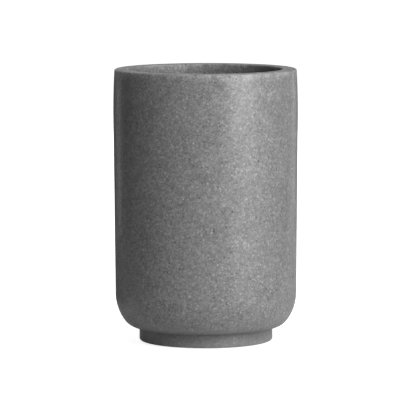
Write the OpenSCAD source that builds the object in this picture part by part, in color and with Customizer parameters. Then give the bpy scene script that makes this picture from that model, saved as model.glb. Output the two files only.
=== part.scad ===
// Bathroom tumbler, cast in speckled stone resin.
// One casting makes the wall, floor and foot. A round anti-slip pad is bonded into a recess under the foot.
// Millimetres. The Z axis is the axis of revolution, and the tumbler stands on the plane z = 0.

/* [Body] */
// Height of the casting, from the underside of the foot to the rim
cast_h = 109.6; // [80:0.1:150]
// Largest outside diameter, at the foot of the lip band
body_d = 74.2; // [66:0.1:100]
// Draft of the straight side, which narrows towards the base, in degrees
side_draft = 0.5; // [0:0.1:2]
// Radius of the large arc that turns the side in towards the base
corner_side_r = 18.1; // [12:0.1:26]
// Radius of the small arc that runs on into the underside
corner_base_r = 6.9; // [4:0.1:10]
// Turn of the small arc, in degrees, and the large arc turns the rest of the corner
corner_base_turn = 53; // [30:1:75]

/* [Rim] */
// Thickness of the wall across the rim
rim_t = 5.5; // [3:0.1:9]
// Height of the band below the rim that curves gently inward
lip_band_h = 17; // [8:0.5:25]
// How far the lip band leans in at the rim
lip_lean = 0.5; // [0.1:0.05:1.5]
// Radius on the rim's outer edge
rim_outer_r = 0.8; // [0.3:0.1:1.4]
// Radius on the rim's inner edge
rim_inner_r = 0.6; // [0.3:0.1:1.4]

/* [Inside] */
// Thickness of the floor, from the roof of the recess to the inside
floor_t = 9.6; // [7:0.1:20]
// Radius of the corner between the floor and the inner wall
inner_corner_r = 10; // [4:0.1:16]
// Draft of the inner wall, which narrows towards the floor, in degrees
inner_draft = 0.6; // [0:0.1:2]

/* [Foot] */
// Diameter of the foot
foot_d = 53.8; // [44:0.1:60]
// Height of the foot, up to the underside of the body
foot_h = 5.5; // [3:0.1:8]
// Radius on the foot's lower edge
foot_edge_r = 0.9; // [0.3:0.1:1.4]
// Radius of the fillet between the foot and the body
foot_fillet_r = 0.4; // [0.2:0.1:0.8]
// Width of the foot's ring round the recess
foot_ring_w = 4.4; // [3:0.1:9]
// Radius on the mouth of the recess
recess_edge_r = 0.3; // [0.1:0.1:0.6]

/* [Anti-slip pad] */
// Thickness of the pad
pad_t = 1.6; // [1:0.1:3]
// How far the pad stands out below the foot
pad_proud = 0.4; // [0.2:0.05:0.8]
// Radius on the pad's lower edge
pad_edge_r = 0.3; // [0.1:0.1:0.5]
// Clearance round the pad in its recess
pad_clearance = 0.5; // [0.2:0.1:1]
// Thickness of the adhesive film that bonds the pad
adhesive_t = 0.2; // [0.1:0.05:0.4]
// How far the film stays back from the pad's edge
adhesive_inset = 0.5; // [0.1:0.1:2]

/* [Hidden] */
// Segments of a full turn
turn_segments = 180;
// Segments along a wide arc of an outline, and along the small radius of an edge
arc_segments = 16;
edge_segments = 5;

body_r = body_d / 2;
foot_r = foot_d / 2;
recess_r = foot_r - foot_ring_w;
pad_r = recess_r - pad_clearance;
adhesive_r = pad_r - adhesive_inset;

// Heights above the plane that the tumbler stands on
recess_roof_z = pad_t + adhesive_t;
cast_z = pad_proud;
underside_z = cast_z + foot_h;
floor_z = recess_roof_z + floor_t;
rim_z = cast_z + cast_h;
lip_z = rim_z - lip_band_h;

// The lip band is one arc. It is upright at lip_z, where the body is widest, and lip_lean further in at the
// rim. It starts below lip_z, where its tangent has the draft of the side.
lip_arc_r = (pow(lip_band_h, 2) + pow(lip_lean, 2)) / (2 * lip_lean);
lip_arc_x = body_r - lip_arc_r;
side_top_x = lip_arc_x + lip_arc_r * cos(side_draft);
side_top_z = lip_z - lip_arc_r * sin(side_draft);

// The rim's outer edge rolls inside the lip arc, and the two share a tangent where they meet
rim_edge_turn = asin((lip_band_h - rim_outer_r) / (lip_arc_r - rim_outer_r));
rim_edge_x = lip_arc_x + (lip_arc_r - rim_outer_r) * cos(rim_edge_turn);

// The corner is two arcs with a shared tangent. The small one ends flat on the underside, and the large one
// ends on the drafted side.
corner_meet_turn = corner_base_turn - 90;
corner_base_z = underside_z + corner_base_r;
corner_side_z = corner_base_z - (corner_side_r - corner_base_r) * sin(corner_meet_turn);
side_foot_z = corner_side_z - corner_side_r * sin(side_draft);
side_foot_x = side_top_x - (side_top_z - side_foot_z) * tan(side_draft);
corner_side_x = side_foot_x - corner_side_r * cos(side_draft);
corner_base_x = corner_side_x + (corner_side_r - corner_base_r) * cos(corner_meet_turn);

// The foot's side ends where it meets the body, on the flat underside or further out on the corner.
// Its section runs on into the floor, so that the two are one solid.
foot_reach = max(0, foot_r - corner_base_x);
foot_top_z = corner_base_z - sqrt(pow(corner_base_r, 2) - pow(foot_reach, 2));
foot_root_z = (underside_z + floor_z) / 2;

// Inner wall, from the mouth to the arc that turns into the floor
mouth_r = body_r - lip_lean - rim_t;
inner_corner_z = floor_z + inner_corner_r;
inner_foot_z = inner_corner_z - inner_corner_r * sin(inner_draft);
inner_foot_x = mouth_r - (rim_z - inner_foot_z) * tan(inner_draft);
inner_corner_x = inner_foot_x - inner_corner_r * cos(inner_draft);

// Points along an arc about [x, z]. An arc that carries on from another leaves out the point they share.
function arc(x, z, r, from, to, segments, carries_on = false) =
    [for (i = [(carries_on ? 1 : 0) : segments])
        let (turn = from + (to - from) * i / segments)
        [x + r * cos(turn), z + r * sin(turn)]];

// Half section of the bowl: underside, outer corner, side, lip band, rim, inner wall and floor
module bowl_section() {
    polygon(concat(
        [[0, underside_z]],
        arc(corner_base_x, corner_base_z, corner_base_r, -90, corner_meet_turn, arc_segments),
        arc(corner_side_x, corner_side_z, corner_side_r, corner_meet_turn, -side_draft, arc_segments, true),
        arc(lip_arc_x, lip_z, lip_arc_r, -side_draft, rim_edge_turn, arc_segments),
        arc(rim_edge_x, rim_z - rim_outer_r, rim_outer_r, rim_edge_turn, 90, edge_segments, true),
        arc(mouth_r + rim_inner_r, rim_z - rim_inner_r, rim_inner_r, 90, 180 - inner_draft, edge_segments),
        arc(inner_corner_x, inner_corner_z, inner_corner_r, -inner_draft, -90, arc_segments),
        [[0, floor_z]]
    ));
}

// Half section of the foot: recess, its rounded mouth, lower edge, side and the fillet under the bowl
module foot_section() {
    polygon(concat(
        [[0, recess_roof_z], [recess_r, recess_roof_z]],
        arc(recess_r + recess_edge_r, cast_z + recess_edge_r, recess_edge_r, 180, 270, edge_segments),
        arc(foot_r - foot_edge_r, cast_z + foot_edge_r, foot_edge_r, -90, 0, edge_segments),
        arc(foot_r + foot_fillet_r, foot_top_z - foot_fillet_r, foot_fillet_r, 180, 90, edge_segments),
        [[foot_r + foot_fillet_r, foot_root_z], [0, foot_root_z]]
    ));
}

// The casting, open at the top
module cup() {
    color("dimgray")
        rotate_extrude($fn = turn_segments)
            union() {
                bowl_section();
                foot_section();
            }
}

// Thin film between the pad and the roof of the recess
module pad_adhesive() {
    color("gainsboro")
        translate([0, 0, pad_t])
            cylinder(r = adhesive_r, h = adhesive_t, $fn = turn_segments);
}

// Foam-rubber disc that the tumbler stands on
module base_pad() {
    color("#2b2b2d")
        rotate_extrude($fn = turn_segments)
            polygon(concat(
                [[0, 0]],
                arc(pad_r - pad_edge_r, pad_edge_r, pad_edge_r, -90, 0, edge_segments),
                [[pad_r, pad_t], [0, pad_t]]
            ));
}

cup();
pad_adhesive();
base_pad();
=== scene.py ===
# Bathroom tumbler in speckled cast stone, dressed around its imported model.
# Metres, +Z up, camera looking along +Y.
import math

import bmesh
import bpy
from mathutils import Matrix, Vector


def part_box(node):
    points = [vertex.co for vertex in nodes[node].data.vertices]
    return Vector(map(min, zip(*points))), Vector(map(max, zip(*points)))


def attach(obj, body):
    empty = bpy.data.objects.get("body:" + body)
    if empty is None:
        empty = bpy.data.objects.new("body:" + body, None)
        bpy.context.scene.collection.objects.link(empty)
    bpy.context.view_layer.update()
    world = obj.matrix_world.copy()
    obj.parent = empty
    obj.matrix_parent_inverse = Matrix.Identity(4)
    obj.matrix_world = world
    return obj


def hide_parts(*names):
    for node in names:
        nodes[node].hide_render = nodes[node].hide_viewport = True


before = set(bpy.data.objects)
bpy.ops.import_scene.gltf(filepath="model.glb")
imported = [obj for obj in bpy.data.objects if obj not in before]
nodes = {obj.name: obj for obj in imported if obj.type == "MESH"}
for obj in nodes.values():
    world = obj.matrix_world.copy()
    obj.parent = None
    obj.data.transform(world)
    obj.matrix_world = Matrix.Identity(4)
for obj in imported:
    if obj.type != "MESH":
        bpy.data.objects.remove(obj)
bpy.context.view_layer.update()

cup_low, cup_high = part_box("cup")
film_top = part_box("pad_adhesive")[1].z

MM = 0.001

# Sizes of the casting. Those that the frame doesn't give are the same as in the part's source.
BODY_R = cup_high.x
RIM_Z = cup_high.z
CAST_Z = cup_low.z
SIDE_DRAFT = math.radians(0.5)
CORNER_SIDE_R = 18.1 * MM
CORNER_BASE_R = 6.9 * MM
CORNER_MEET = math.radians(53 - 90)
RIM_T = 5.5 * MM
LIP_BAND_H = 17 * MM
LIP_LEAN = 0.5 * MM
RIM_OUTER_R = 0.8 * MM
RIM_INNER_R = 0.6 * MM
FLOOR_Z = film_top + 9.6 * MM
INNER_CORNER_R = 10 * MM
INNER_DRAFT = math.radians(0.6)
FOOT_R = 26.9 * MM
UNDERSIDE_Z = CAST_Z + 5.5 * MM
FOOT_EDGE_R = 0.9 * MM
FOOT_FILLET_R = 0.4 * MM
RECESS_R = FOOT_R - 4.4 * MM
RECESS_ROOF_Z = film_top
RECESS_EDGE_R = 0.3 * MM

# Segments of a full turn, and the distance between points on a straight stretch of the outline
TURN_SEGMENTS = 288
STRAIGHT_SPACING = 1.5 * MM

# Mean of a noise's values, and the range that most of them lie in
NOISE_MEAN = 0.5
NOISE_SPAN = (0.3, 0.7)

# Sizes of the grains, flecks, patches and clouds in the stone
FINE_GRAIN = 0.42 * MM
MIDDLE_GRAIN = 0.85 * MM
FLECK = 0.8 * MM
PATCH = 3.5 * MM
CLOUD = 9 * MM
# Grains are mostly dark, so their even spread of values is raised to this power, which has this mean
GRAIN_CURVE = 1.6
GRAIN_MEAN = 0.385
# How strongly each of them changes the stone's tone, and the share of it all that the foot has
FINE_GRAIN_STRENGTH = 0.5
MIDDLE_GRAIN_STRENGTH = 0.38
PATCH_STRENGTH = 0.42
CLOUD_STRENGTH = 0.3
WHITE_FLECK_STRENGTH = 0.6
DARK_FLECK_STRENGTH = -0.4
FOOT_CONTRAST_SHARE = 0.5
# Tone and roughness of the stone, how much wear and a painted highlight along the rim lighten it, how much
# wear roughens it, and how much painted shade in the crevice under the body darkens it
STONE_TONE = 0.165
STONE_ROUGH = (0.305, 0.335)
WEAR_AND_HIGHLIGHT_LIGHTENS = 0.55
WEAR_ROUGHENS = 0.2
CREVICE_SHADE_DARKENS = 0.35
# Gloss of the sealed stone, of the rim's duller face, and the share that is left at grazing angles
STONE_GLOSS = 0.35
RIM_GLOSS = 0.04
GRAZING_SHARE = 0.3
# Depth of the flat band at the top of the rim, over which its face turns dull
RIM_FACE_DEPTH = 0.15 * MM


def arc(x, z, r, start, end, steps):
    """Points along an arc of an outline about (x, z), angles in radians."""
    turns = (start + (end - start) * i / steps for i in range(steps + 1))
    return [(x + r * math.cos(t), z + r * math.sin(t)) for t in turns]


def straight(a, b, spacing):
    """Points between a and b, without the two ends, about one spacing apart."""
    steps = max(1, round(math.dist(a, b) / spacing))
    return [(a[0] + (b[0] - a[0]) * i / steps, a[1] + (b[1] - a[1]) * i / steps) for i in range(1, steps)]


def casting_outline():
    """Half section of the casting as (radius, height): from the recess's roof, round the outside, over the
    rim and down to the inner floor."""
    half, quarter = math.pi, math.pi / 2
    lip_z = RIM_Z - LIP_BAND_H
    lip_r = (LIP_BAND_H ** 2 + LIP_LEAN ** 2) / (2 * LIP_LEAN)
    lip_x = BODY_R - lip_r
    side_top = (lip_x + lip_r * math.cos(SIDE_DRAFT), lip_z - lip_r * math.sin(SIDE_DRAFT))
    rim_turn = math.asin((LIP_BAND_H - RIM_OUTER_R) / (lip_r - RIM_OUTER_R))
    rim_x = lip_x + (lip_r - RIM_OUTER_R) * math.cos(rim_turn)

    base_z = UNDERSIDE_Z + CORNER_BASE_R
    side_z = base_z - (CORNER_SIDE_R - CORNER_BASE_R) * math.sin(CORNER_MEET)
    side_end_z = side_z - CORNER_SIDE_R * math.sin(SIDE_DRAFT)
    side_end_x = side_top[0] - (side_top[1] - side_end_z) * math.tan(SIDE_DRAFT)
    side_x = side_end_x - CORNER_SIDE_R * math.cos(SIDE_DRAFT)
    base_x = side_x + (CORNER_SIDE_R - CORNER_BASE_R) * math.cos(CORNER_MEET)

    mouth_r = BODY_R - LIP_LEAN - RIM_T
    inner_z = FLOOR_Z + INNER_CORNER_R
    inner_end_z = inner_z - INNER_CORNER_R * math.sin(INNER_DRAFT)
    inner_end_x = mouth_r - (RIM_Z - inner_end_z) * math.tan(INNER_DRAFT)
    inner_x = inner_end_x - INNER_CORNER_R * math.cos(INNER_DRAFT)

    # An arc that carries on from the last one leaves out the point that they share
    runs = [
        [(0, RECESS_ROOF_Z), (RECESS_R, RECESS_ROOF_Z)],
        arc(RECESS_R + RECESS_EDGE_R, CAST_Z + RECESS_EDGE_R, RECESS_EDGE_R, -half, -quarter, steps=6),
        arc(FOOT_R - FOOT_EDGE_R, CAST_Z + FOOT_EDGE_R, FOOT_EDGE_R, -quarter, 0, steps=10),
        arc(FOOT_R + FOOT_FILLET_R, UNDERSIDE_Z - FOOT_FILLET_R, FOOT_FILLET_R, half, quarter, steps=6),
        arc(base_x, base_z, CORNER_BASE_R, -quarter, CORNER_MEET, steps=18),
        arc(side_x, side_z, CORNER_SIDE_R, CORNER_MEET, -SIDE_DRAFT, steps=24)[1:],
        arc(lip_x, lip_z, lip_r, -SIDE_DRAFT, rim_turn, steps=16),
        arc(rim_x, RIM_Z - RIM_OUTER_R, RIM_OUTER_R, rim_turn, quarter, steps=10)[1:],
        arc(mouth_r + RIM_INNER_R, RIM_Z - RIM_INNER_R, RIM_INNER_R, quarter, half - INNER_DRAFT, steps=8),
        arc(inner_x, inner_z, INNER_CORNER_R, -INNER_DRAFT, -quarter, steps=20),
        [(0, FLOOR_Z)],
    ]
    outline = list(runs[0])
    for run in runs[1:]:
        outline += straight(outline[-1], run[0], STRAIGHT_SPACING) + run
    return outline


def add_object(name, data):
    """A new object in the scene, with the data of a mesh, a lamp or a camera."""
    obj = bpy.data.objects.new(name, data)
    bpy.context.scene.collection.objects.link(obj)
    return obj


def mesh_object(name, bm):
    """A new object in the scene, with the mesh that was built in bm."""
    mesh = bpy.data.meshes.new(name)
    bm.to_mesh(mesh)
    bm.free()
    return add_object(name, mesh)


def revolve(name, outline, segments):
    """A closed mesh of revolution about Z, with smooth quads and a point where the outline meets the axis."""
    on_axis = 1e-9
    bm = bmesh.new()
    rings = []
    for r, z in outline:
        if r < on_axis:
            rings.append([bm.verts.new((0, 0, z))])
            continue
        turns = (2 * math.pi * i / segments for i in range(segments))
        rings.append([bm.verts.new((r * math.cos(t), r * math.sin(t), z)) for t in turns])
    for a, b in zip(rings, rings[1:]):
        for i in range(segments):
            j = (i + 1) % segments
            face = [a[i % len(a)], a[j % len(a)], b[j % len(b)], b[i % len(b)]]
            bm.faces.new(list(dict.fromkeys(face)))
    bmesh.ops.recalc_face_normals(bm, faces=bm.faces)
    obj = mesh_object(name, bm)
    obj.data.shade_smooth()
    return obj


class Shader:
    """A material's node tree, with short calls that add and join its nodes."""

    def __init__(self, name):
        self.material = bpy.data.materials.new(name)
        self.material.use_nodes = True
        self.tree = self.material.node_tree
        self.surface = self.tree.nodes["Principled BSDF"]
        self.place = self.add("ShaderNodeTexCoord").outputs["Object"]

    def add(self, kind, inputs=None, **settings):
        """A new node with its settings and inputs filled in."""
        node = self.tree.nodes.new(kind)
        for key, value in settings.items():
            setattr(node, key, value)
        for key, value in (inputs or {}).items():
            self.put(node.inputs[key], value)
        return node

    def put(self, socket, value):
        """Joins another node's output to a socket, or gives the socket a plain value."""
        if isinstance(value, bpy.types.NodeSocket):
            self.tree.links.new(value, socket)
        else:
            socket.default_value = value

    def set(self, name, value):
        """Fills in one input of the surface."""
        self.put(self.surface.inputs[name], value)

    def colour(self, red, green, blue):
        """Gives the surface its colour."""
        mixed = self.add("ShaderNodeCombineColor", {"Red": red, "Green": green, "Blue": blue})
        self.set("Base Color", mixed.outputs[0])

    def relief(self, height, strength, depth):
        """Gives the surface a fine relief."""
        bump = self.add("ShaderNodeBump", {"Strength": strength, "Distance": depth, "Height": height})
        self.set("Normal", bump.outputs[0])

    def math(self, operation, *values):
        node = self.add("ShaderNodeMath", operation=operation)
        for socket, value in zip(node.inputs, values):
            self.put(socket, value)
        return node.outputs[0]

    def length(self, vector):
        return self.add("ShaderNodeVectorMath", {0: vector}, operation="LENGTH").outputs["Value"]

    def noise(self, size, detail=3.0, roughness=0.6, seed=0.0):
        """Soft noise from 0 to 1, with forms of about the given size."""
        node = self.add("ShaderNodeTexNoise", {"Vector": self.place, "Scale": 1 / size, "Detail": detail,
                                               "Roughness": roughness, "W": seed}, noise_dimensions="4D")
        return node.outputs["Fac"]

    def cells(self, size, seed=0.0):
        """Distance from the middle of each cell, and a value that each cell has by chance."""
        node = self.add("ShaderNodeTexVoronoi", {"Vector": self.place, "Scale": 1 / size, "W": seed},
                        voronoi_dimensions="4D")
        value = self.add("ShaderNodeSeparateColor", {"Color": node.outputs["Color"]})
        return node.outputs["Distance"], value.outputs[0]

    def ramp(self, value, low, high, to=(0.0, 1.0)):
        """Carries a value over in proportion, from the range between low and high to that of to. Past either
        end it holds still."""
        node = self.add("ShaderNodeMapRange", {"Value": value, "From Min": low, "From Max": high,
                                               "To Min": to[0], "To Max": to[1]})
        return node.outputs["Result"]


def cast_stone():
    """Resin and stone powder with grains of light and dark mineral, cut smooth and sealed."""
    s = Shader("cast_stone")
    height = s.add("ShaderNodeSeparateXYZ", {"Vector": s.place}).outputs["Z"]
    rim_face = s.ramp(height, RIM_Z - RIM_FACE_DEPTH, RIM_Z)
    fine = s.cells(FINE_GRAIN, seed=1.3)[1]
    wear_and_highlight_tone, worn_rough = worn_and_highlit_edges(s, height, rim_face)
    tone = speckle(s, fine, height)
    # Lighter along the rim's and foot's edges: partly wear, and along the rim's top partly a painted
    # highlight
    tone = s.math("MULTIPLY", tone, s.math("MULTIPLY_ADD", wear_and_highlight_tone, WEAR_AND_HIGHLIGHT_LIGHTENS, 1.0))
    # Painted shade: darker in the crevice under the body, where the overhang shades the foot
    tone = s.math("MULTIPLY", tone, s.math("MULTIPLY_ADD", painted_crevice_shade(s), -CREVICE_SHADE_DARKENS, 1.0))
    grey = s.math("MULTIPLY", tone, STONE_TONE)
    s.colour(grey, grey, grey)
    polish = s.ramp(s.noise(0.6 * MM, seed=5.0), *NOISE_SPAN, to=STONE_ROUGH)
    s.set("Roughness", s.math("MULTIPLY_ADD", worn_rough, WEAR_ROUGHENS, polish))
    s.set("Specular IOR Level", stone_gloss(s, rim_face))
    grain_share = 0.3
    tooth = s.math("ADD", s.math("MULTIPLY", fine, grain_share), s.noise(0.35 * MM, seed=9.0))
    s.relief(tooth, strength=0.1, depth=0.03 * MM)
    return s.material


def speckle(s, fine, height):
    """The stone's tone, around 1: grains, patches, clouds, and a few white and dark flecks. It is calmer on
    the foot."""
    middle = s.cells(MIDDLE_GRAIN, seed=4.1)[1]
    patch = s.noise(PATCH, detail=2.0, roughness=0.5, seed=6.0)
    cloud = s.noise(CLOUD, roughness=0.55, seed=2.0)
    layers = [
        (s.math("POWER", fine, GRAIN_CURVE), GRAIN_MEAN, FINE_GRAIN_STRENGTH),
        (s.math("POWER", middle, GRAIN_CURVE), GRAIN_MEAN, MIDDLE_GRAIN_STRENGTH),
        (patch, NOISE_MEAN, PATCH_STRENGTH),
        (cloud, NOISE_MEAN, CLOUD_STRENGTH),
    ]
    tone = 1.0
    for value, mean, strength in layers:
        tone = s.math("MULTIPLY_ADD", s.math("SUBTRACT", value, mean), strength, tone)
    # The few cells with a value near 1 hold a white fleck, and those with one near 0 a dark fleck
    fleck_distance, fleck = s.cells(FLECK, seed=7.7)
    within = s.ramp(fleck_distance, 0.6, 0.4)
    white = s.math("MULTIPLY", s.ramp(fleck, 0.92, 0.93), within)
    dark = s.math("MULTIPLY", s.ramp(fleck, 0.06, 0.05), within)
    tone = s.math("MULTIPLY_ADD", white, WHITE_FLECK_STRENGTH, tone)
    tone = s.math("MULTIPLY_ADD", dark, DARK_FLECK_STRENGTH, tone)
    calm, lively = UNDERSIDE_Z - 0.5 * MM, UNDERSIDE_Z + 6 * MM
    contrast = s.ramp(height, calm, lively, to=(FOOT_CONTRAST_SHARE, 1.0))
    return s.math("MULTIPLY_ADD", s.math("SUBTRACT", tone, 1.0), contrast, 1.0)


def stone_gloss(s, rim_face):
    """Gloss of the stone: low on the rim's face, and lower towards grazing angles everywhere else."""
    fade_start, fade_end = 0.5, 0.72
    facing = s.add("ShaderNodeLayerWeight", {"Blend": 0.5}).outputs["Facing"]
    fading = s.ramp(facing, fade_start, fade_end, to=(1.0, GRAZING_SHARE))
    level = s.math("MULTIPLY_ADD", rim_face, RIM_GLOSS - STONE_GLOSS, STONE_GLOSS)
    return s.math("MULTIPLY", level, s.math("MAXIMUM", rim_face, fading))


def worn_and_highlit_edges(s, height, rim_face):
    """Wear in patches, most along the rim's edges and less along the foot's. Gives two values from 0: how
    much lighter the stone is, which along the rim is partly a painted highlight, and how much rougher. The
    whole face of the rim counts as fully rough."""
    rim_start, rim_full = RIM_Z - 3.6 * MM, RIM_Z - 0.3 * MM
    foot_start, foot_full = CAST_Z + 1.2 * MM, CAST_Z + 0.2 * MM
    foot_share = 0.5
    rim_face_adds = 0.1
    # Along the rim the lightening is partly a painted highlight where the lip turns up towards the light
    rim = s.math("POWER", s.ramp(height, rim_start, rim_full), 1.6)
    foot = s.math("POWER", s.ramp(height, foot_start, foot_full), 1.5)
    patchy = s.ramp(s.noise(4.5 * MM, seed=3.0), 0.38, 0.58, to=(0.15, 1.0))
    wear_and_highlight = s.math("MULTIPLY", s.math("MULTIPLY_ADD", foot, foot_share, rim), patchy)
    tone = s.math("MULTIPLY", wear_and_highlight, s.math("MULTIPLY_ADD", rim_face, rim_face_adds, 1.0))
    return tone, s.math("MAXIMUM", wear_and_highlight, rim_face)


def painted_crevice_shade(s):
    """Painted shade, from 0 to 1: darkest in the crevice under the body, where the overhang shades the foot,
    and fading down the foot.
    """
    place = s.add("ShaderNodeSeparateXYZ", {"Vector": s.place})
    out = s.add("ShaderNodeCombineXYZ", {"X": place.outputs["X"], "Y": place.outputs["Y"]})
    near = s.ramp(s.length(out.outputs[0]), FOOT_R + 1.4 * MM, FOOT_R + 0.4 * MM)
    high = s.ramp(place.outputs["Z"], UNDERSIDE_Z - 4.5 * MM, UNDERSIDE_Z - 0.4 * MM)
    low = s.ramp(place.outputs["Z"], UNDERSIDE_Z + 0.5 * MM, UNDERSIDE_Z)
    patchy = s.ramp(s.noise(3 * MM, seed=8.0), 0.3, 0.6, to=(0.6, 1.0))
    return s.math("MULTIPLY", s.math("MULTIPLY", near, patchy), s.math("MULTIPLY", high, low))


def adhesive_film():
    """Thin cloudy double-sided film."""
    s = Shader("adhesive_film")
    blue_share = 0.96
    haze = s.ramp(s.noise(1.2 * MM), *NOISE_SPAN, to=(0.66, 0.78))
    s.colour(haze, haze, s.math("MULTIPLY", haze, blue_share))
    smear = s.noise(0.8 * MM, detail=2.0, roughness=0.5, seed=3.0)
    s.set("Roughness", s.ramp(smear, *NOISE_SPAN, to=(0.3, 0.45)))
    s.relief(s.noise(0.5 * MM, detail=2.0, roughness=0.5), strength=0.2, depth=0.02 * MM)
    return s.material


def foam_rubber():
    """Black closed-cell foam with fine pores and a faint dusty bloom."""
    s = Shader("foam_rubber")
    pore_tone, skin_adds, bloom_adds = 0.014, 0.02, 0.02
    pore_distance, pore = s.cells(0.38 * MM)
    skin = s.ramp(pore_distance, 0.15, 0.4)
    bloom = s.ramp(s.noise(5 * MM, detail=4.0, seed=1.0), 0.4, 0.75, to=(0.0, bloom_adds))
    tone = s.math("ADD", s.math("MULTIPLY_ADD", skin, skin_adds, pore_tone), bloom)
    s.colour(tone, tone, tone)
    s.set("Roughness", s.ramp(pore, 0.0, 1.0, to=(0.78, 0.92)))
    s.relief(skin, strength=0.5, depth=0.06 * MM)
    return s.material


def matt_grey(name, tone, gloss):
    """An even matt grey."""
    s = Shader(name)
    s.set("Base Color", (tone, tone, tone, 1))
    s.set("Roughness", 0.9)
    s.set("Specular IOR Level", gloss)
    return s


def aimed(name, data, place, target, roll=0.0):
    """A camera or lamp at a place, looking at a target."""
    obj = add_object(name, data)
    obj.rotation_mode = "QUATERNION"
    look = (Vector(target) - Vector(place)).to_track_quat("-Z", "Y")
    obj.matrix_world = Matrix.Translation(place) @ look.to_matrix().to_4x4() @ Matrix.Rotation(roll, 4, "Z")
    return obj


def around(azimuth, elevation, distance, height):
    """A place at a distance from the point at a height on the axis, angles in degrees. Azimuth 0 is the
    camera's side, and 90 is its right."""
    a, e = math.radians(azimuth), math.radians(elevation)
    return (distance * math.sin(a) * math.cos(e), -distance * math.cos(a) * math.cos(e),
            height + distance * math.sin(e))


def camera():
    """The photograph's view, a little from above and with a long lens."""
    image_px = 412
    focal_px = 3598
    sensor_mm = 36
    distance = 1.45
    elevation = 5.93
    roll = math.radians(-0.105)
    aside = 0.09 * MM
    aim = (aside, 0, CAST_Z + 54.13 * MM)
    data = bpy.data.cameras.new("camera")
    data.sensor_width = sensor_mm
    data.lens = sensor_mm * focal_px / image_px
    data.clip_start, data.clip_end = 0.05, 100
    place = around(0, elevation, distance, aim[2])
    bpy.context.scene.camera = aimed("camera", data, place, aim, roll)


def softbox(name, azimuth, elevation, distance, size, power, in_gloss=True):
    """A rectangular area lamp that faces the tumbler. Its reflection can be left out."""
    data = bpy.data.lights.new(name, "AREA")
    data.shape = "RECTANGLE"
    data.size, data.size_y = size
    data.energy = power
    middle = (cup_low.z + cup_high.z) / 2
    obj = aimed(name, data, around(azimuth, elevation, distance, middle), (0, 0, middle))
    obj.visible_camera = False
    obj.visible_glossy = in_gloss


def lights():
    """Tall softboxes on the right of the camera, one overhead, one behind, and a strip for each side edge."""
    # Azimuth, elevation, distance, size and power of each
    softbox("key_softbox", 42, 22, 1.0, (0.3, 0.9), 8.0)
    softbox("key_front", 32, 22, 1.0, (0.3, 0.9), 1.9)
    softbox("key_wing", 57, 18, 1.0, (0.2, 0.8), 1.1)
    softbox("key_near", 58, 20, 0.5, (0.2, 0.46), 0.78)
    softbox("overhead", 0, 88, 1.1, (0.8, 0.8), 2.0)
    softbox("strip_left", -134, 8, 0.255, (0.008, 0.2), 0.026)
    softbox("fill_back", -168, 16, 1.0, (0.8, 0.5), 3.0, in_gloss=False)
    softbox("strip_right", 137.5, 8, 0.263, (0.01, 0.2), 0.042)


def flag(name, azimuth, distance, half_width, height, shade=0.02):
    """A dark or grey card beside the view, seen only in reflections. It keeps the tumbler's outline dark."""
    a = math.radians(azimuth)
    middle = Vector((distance * math.sin(a), -distance * math.cos(a), 0))
    along = Vector((math.cos(a), math.sin(a), 0)) * half_width
    top = Vector((0, 0, height))
    mesh = bpy.data.meshes.new(name)
    corners = [middle - along, middle + along, middle + along + top, middle - along + top]
    mesh.from_pydata(corners, [], [(0, 1, 2, 3)])
    mesh.materials.append(matt_grey(name, shade, gloss=0.0).material)
    obj = add_object(name, mesh)
    obj.visible_camera = False
    obj.visible_diffuse = False
    obj.visible_shadow = False


def flags():
    """Three tall cards that stand back from the tumbler, and two low ones near its foot."""
    # Azimuth, distance, half width and height of each
    flag("flag_left", -135, 0.28, 0.195, 0.15)
    flag("card_low_left", -135, 0.1, 0.07, 0.035, shade=0.2)
    flag("card_low_right", 148, 0.1, 0.045, 0.035, shade=0.7)
    flag("flag_right", 118, 0.28, 0.17, 0.35)
    flag("flag_far_right", 162, 0.35, 0.055, 0.35)


def background():
    """White for the camera, in reflections and through clear things, and nearly dark for other rays."""
    dark, white = 0.02, 1.0
    world = bpy.data.worlds.new("studio")
    world.use_nodes = True
    bpy.context.scene.world = world
    tree = world.node_tree
    path = tree.nodes.new("ShaderNodeLightPath")
    seen = path.outputs["Is Camera Ray"]
    for kind in ("Is Glossy Ray", "Is Transmission Ray"):
        either = tree.nodes.new("ShaderNodeMath")
        either.operation = "MAXIMUM"
        tree.links.new(seen, either.inputs[0])
        tree.links.new(path.outputs[kind], either.inputs[1])
        seen = either.outputs[0]
    strength = tree.nodes.new("ShaderNodeMapRange")
    strength.inputs["To Min"].default_value = dark
    strength.inputs["To Max"].default_value = white
    tree.links.new(seen, strength.inputs["Value"])
    light = tree.nodes["Background"]
    light.inputs["Color"].default_value = (1, 1, 1, 1)
    tree.links.new(strength.outputs[0], light.inputs["Strength"])


def floor():
    """A wide pale floor that looks white and still takes the tumbler's soft shadow. Near the tumbler it glows
    a little less than further away, and in reflections much less."""
    reach = 15
    pale = 0.85
    below_pad = 0.02 * MM
    near, far = 0.1, 1.0
    glow_near, glow_far, glow_in_gloss = 0.86, 1.0, 0.1
    bm = bmesh.new()
    bmesh.ops.create_grid(bm, x_segments=4, y_segments=4, size=reach)
    obj = mesh_object("floor", bm)
    obj.location.z = -below_pad
    s = matt_grey("floor_pale", pale, gloss=0.1)
    path = s.add("ShaderNodeLightPath")
    seen = s.math("MAXIMUM", path.outputs["Is Camera Ray"], path.outputs["Is Transmission Ray"])
    glow = s.math("MULTIPLY", seen, s.ramp(s.length(s.place), near, far, to=(glow_near, glow_far)))
    glow = s.math("MULTIPLY_ADD", path.outputs["Is Glossy Ray"], glow_in_gloss, glow)
    s.set("Emission Color", (1, 1, 1, 1))
    s.set("Emission Strength", glow)
    obj.data.materials.append(s.material)


camera()
lights()
flags()
background()
floor()

cup = revolve("cup_casting", casting_outline(), TURN_SEGMENTS)
cup.data.materials.append(cast_stone())
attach(cup, "root")
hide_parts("cup")

nodes["pad_adhesive"].material_slots[0].material = adhesive_film()
nodes["base_pad"].material_slots[0].material = foam_rubber()

bpy.context.scene.view_settings.view_transform = "Standard"
